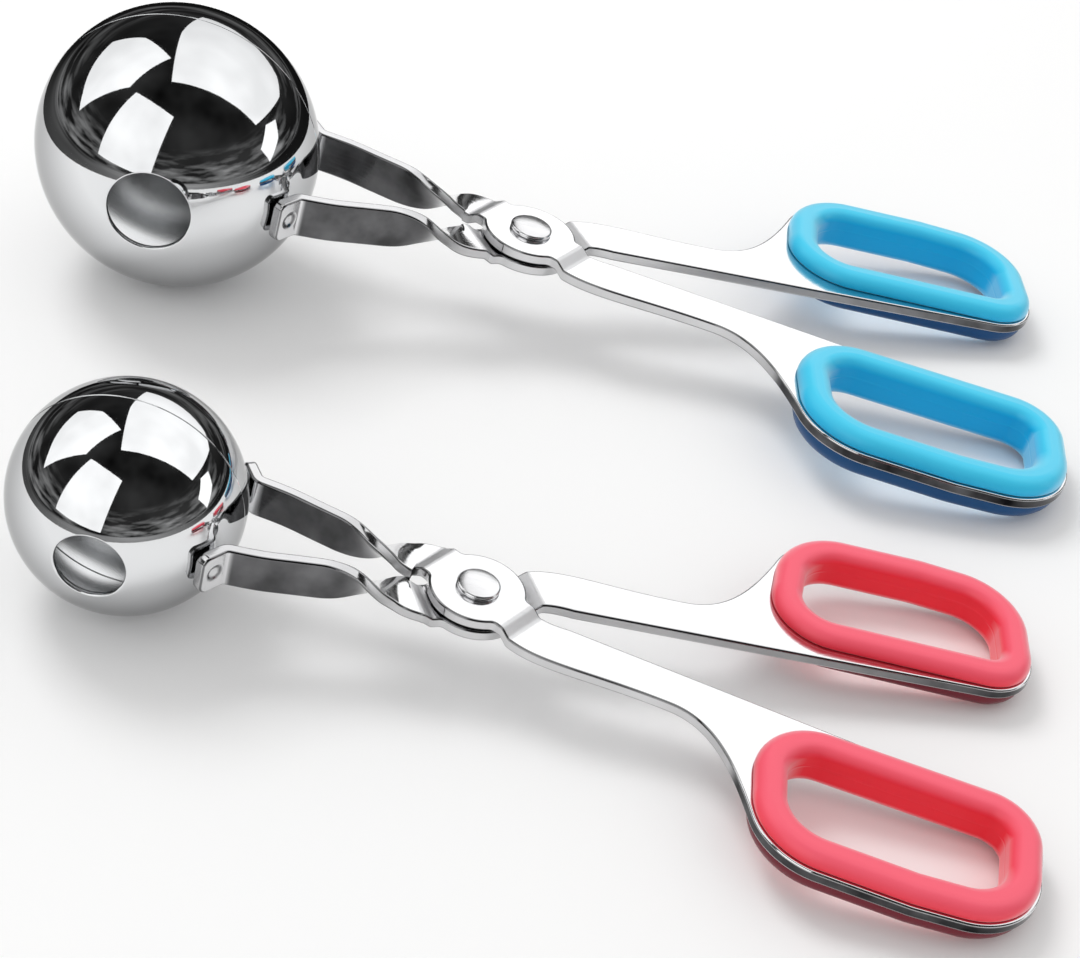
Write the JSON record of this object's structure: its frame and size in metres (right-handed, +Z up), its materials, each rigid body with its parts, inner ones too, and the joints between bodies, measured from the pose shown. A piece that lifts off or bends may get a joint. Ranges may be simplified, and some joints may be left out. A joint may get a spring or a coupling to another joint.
{
  "type": "meatball tongs",
  "caption": "Scissor tongs that press a meatball between two half balls: a large and a small pair, with twisted steel arms on a rivet and soft grips round the finger loops.",
  "frame": {"origin": "on the floor, under the middle of the set's bounding box", "axes": "+X from the balls toward the finger loops, +Y from the small pair toward the large pair, +Z up; the set lies closed on the floor"},
  "size_m": [0.1702, 0.1638, 0.0449],
  "materials": {
    "cup_steel": "mirror polished",
    "arm_steel": "polished sheet",
    "rivet_steel": "polished",
    "blue_grip": "smooth, semi-gloss",
    "pink_grip": "smooth, semi-gloss"
  },
  "bodies": {
    "resting_arms": {"large_arm_upper": "arm_steel", "large_cup_rear": "cup_steel", "large_grip_front": "blue_grip", "large_pivot_rivet": "rivet_steel", "small_arm_lower": "arm_steel", "small_cup_front": "cup_steel", "small_grip_rear": "pink_grip", "small_pivot_rivet": "rivet_steel"},
    "large_moving_arm": {"large_arm_lower": "arm_steel", "large_cup_front": "cup_steel", "large_grip_rear": "blue_grip"},
    "small_moving_arm": {"small_arm_upper": "arm_steel", "small_cup_rear": "cup_steel", "small_grip_front": "pink_grip"}
  },
  "joints": [
    {"name": "large_rivet_hinge", "type": "hinge", "parent": "resting_arms", "child": "large_moving_arm", "pos_m": [-0.00515, 0.0392, 0.01531], "axis": [0.1228, 0.0056, 0.9924], "range_deg": [0, 25]},
    {"name": "small_rivet_hinge", "type": "hinge", "parent": "resting_arms", "child": "small_moving_arm", "pos_m": [-0.00115, -0.0463, 0.01101], "axis": [-0.0965, 0.0044, -0.9953], "range_deg": [0, 25]}
  ]
}
